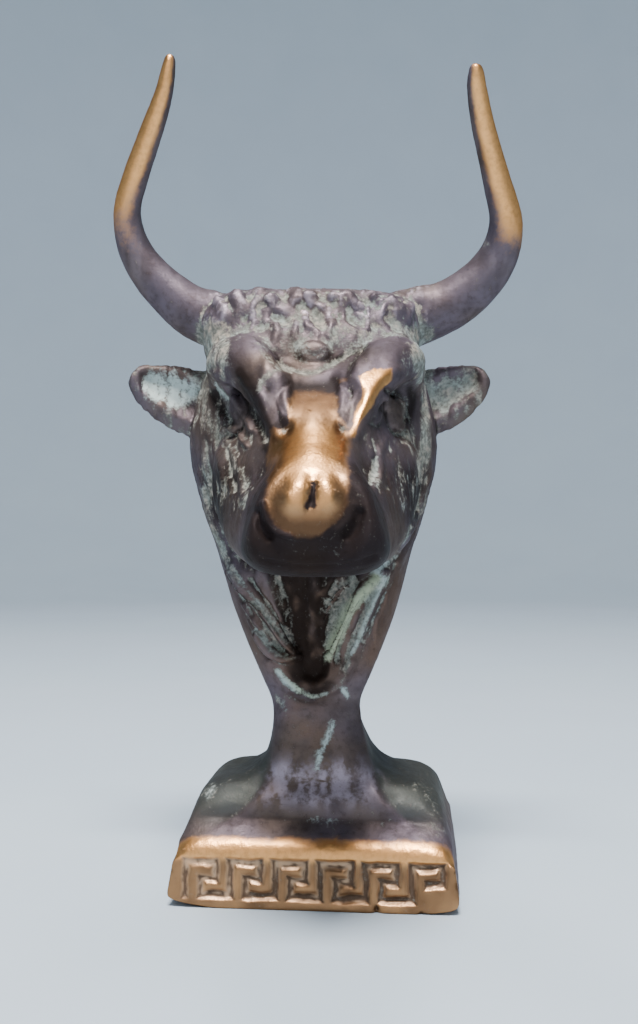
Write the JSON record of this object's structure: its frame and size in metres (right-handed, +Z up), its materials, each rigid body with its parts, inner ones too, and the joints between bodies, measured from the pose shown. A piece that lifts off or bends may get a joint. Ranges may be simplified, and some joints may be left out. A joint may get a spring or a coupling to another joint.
{
  "type": "bull head sculpture",
  "caption": "Cast bronze bull head with lyre-shaped horns on a slender neck and a rectangular foot with a Greek key band.",
  "frame": {"origin": "middle of the foot's flat underside, on the axis of the stem", "axes": "+Z up from the underside to the crown and horn tips, -Y the way the muzzle points, +X towards the horn on the viewer's right"},
  "size_m": [0.0582, 0.058, 0.1165],
  "materials": {
    "bronze": "dark purple-brown patina with verdigris in the hollows and worn golden edges"
  },
  "bodies": {
    "root": {"bull_head": "bronze"}
  },
  "joints": []
}
